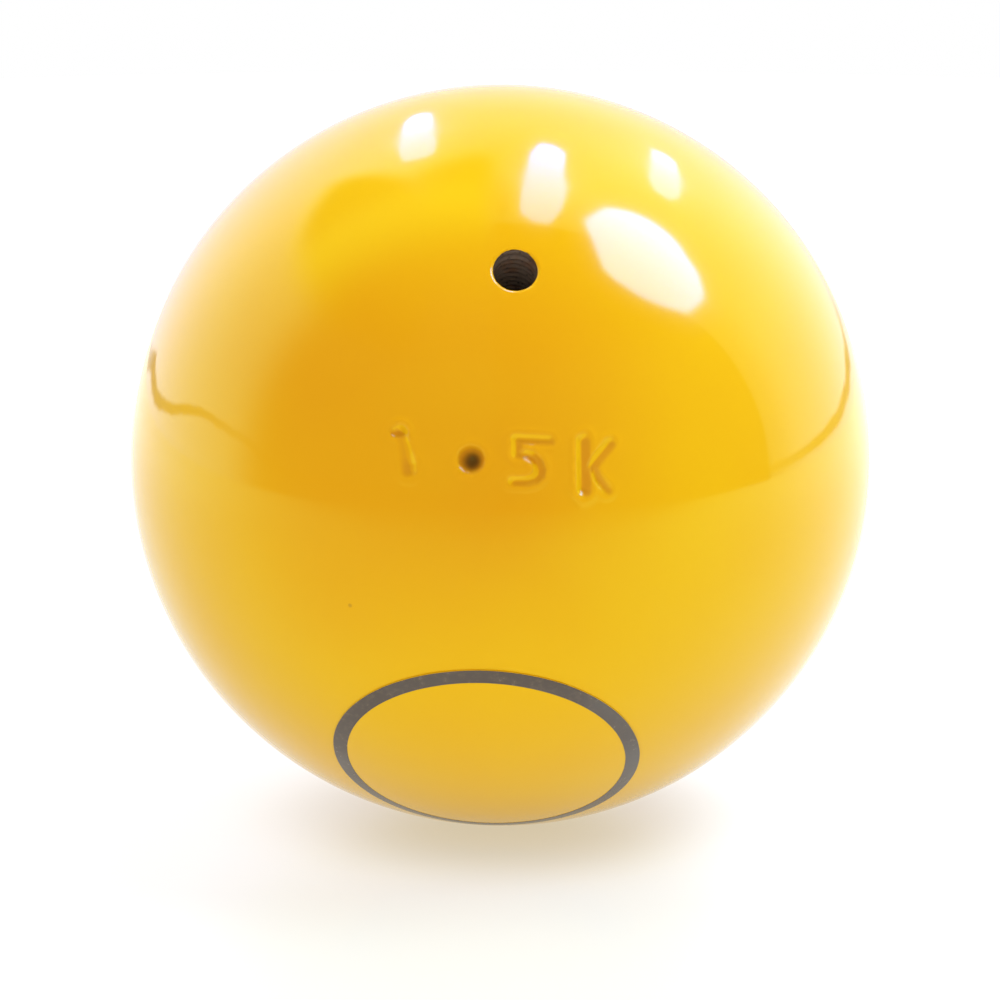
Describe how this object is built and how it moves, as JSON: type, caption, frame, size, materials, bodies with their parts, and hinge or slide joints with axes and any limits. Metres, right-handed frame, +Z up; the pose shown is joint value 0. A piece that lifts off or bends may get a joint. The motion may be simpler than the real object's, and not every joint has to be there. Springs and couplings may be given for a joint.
{
  "type": "shot put",
  "caption": "Yellow enamelled cast-iron throwing shot with an open trim bore, a punched weight mark and a round film label with a dark border.",
  "frame": {"origin": "centre of the ball", "axes": "+Z up as the shot lies in the picture; -Y towards the front, where the weight mark, the bore above it and the label below it are; +X to the right as seen from the front"},
  "size_m": [0.074, 0.0739, 0.074],
  "materials": {
    "grey_iron": "matte",
    "yellow_enamel": "gloss",
    "lead": "matte",
    "black_steel": "satin",
    "label_film": "gloss"
  },
  "bodies": {
    "root": {"cast_ball": "grey_iron", "enamel_coat": "yellow_enamel", "trim_lead": "lead", "set_screw": "black_steel", "label_film": "label_film"}
  },
  "joints": []
}
